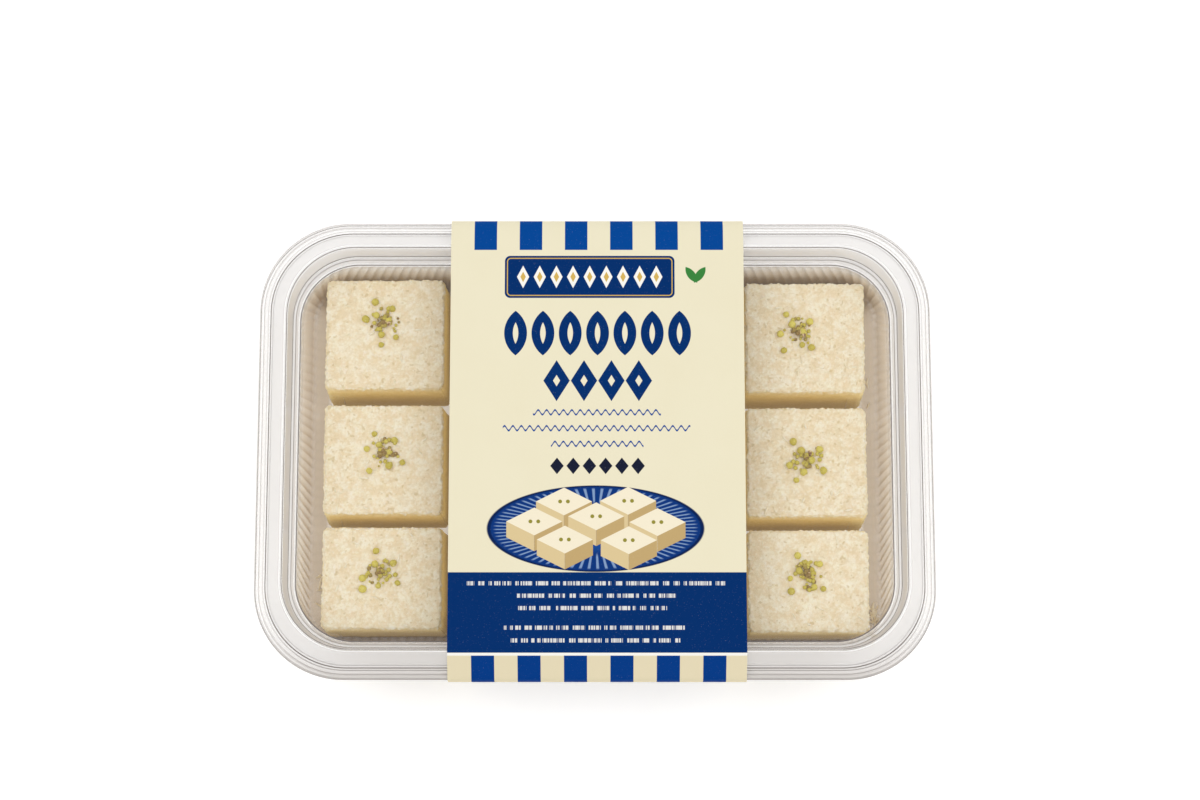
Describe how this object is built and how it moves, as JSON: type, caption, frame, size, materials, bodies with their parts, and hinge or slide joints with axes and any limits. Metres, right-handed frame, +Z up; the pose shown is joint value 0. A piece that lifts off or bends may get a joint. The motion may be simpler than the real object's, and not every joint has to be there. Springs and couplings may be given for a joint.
{
  "type": "pack of barfi",
  "caption": "Shut clear tray of square-cut coconut barfi with pistachio crumbs, with a press-down clear lid and a wrap-round card sleeve.",
  "frame": {"origin": "middle of the pack's footprint, on the surface that it stands on", "axes": "+X along the pack, left to right as the label is read; +Y towards the label's top edge; +Z up out of the lid"},
  "size_m": [0.21, 0.1454, 0.0375],
  "materials": {
    "clear_tray": "clear, formed, fluted walls",
    "clear_lid": "clear, formed, glossy",
    "printed_card": "satin print",
    "barfi": "rough, crumbly, matt"
  },
  "bodies": {
    "root": {"tray": "clear_tray", "lid": "clear_lid", "sleeve": "printed_card", "barfi_r1_c1": "barfi", "barfi_r1_c2": "barfi", "barfi_r1_c3": "barfi", "barfi_r1_c4": "barfi", "barfi_r2_c1": "barfi", "barfi_r2_c2": "barfi", "barfi_r2_c3": "barfi", "barfi_r2_c4": "barfi", "barfi_r3_c1": "barfi", "barfi_r3_c2": "barfi", "barfi_r3_c3": "barfi", "barfi_r3_c4": "barfi"}
  },
  "joints": []
}
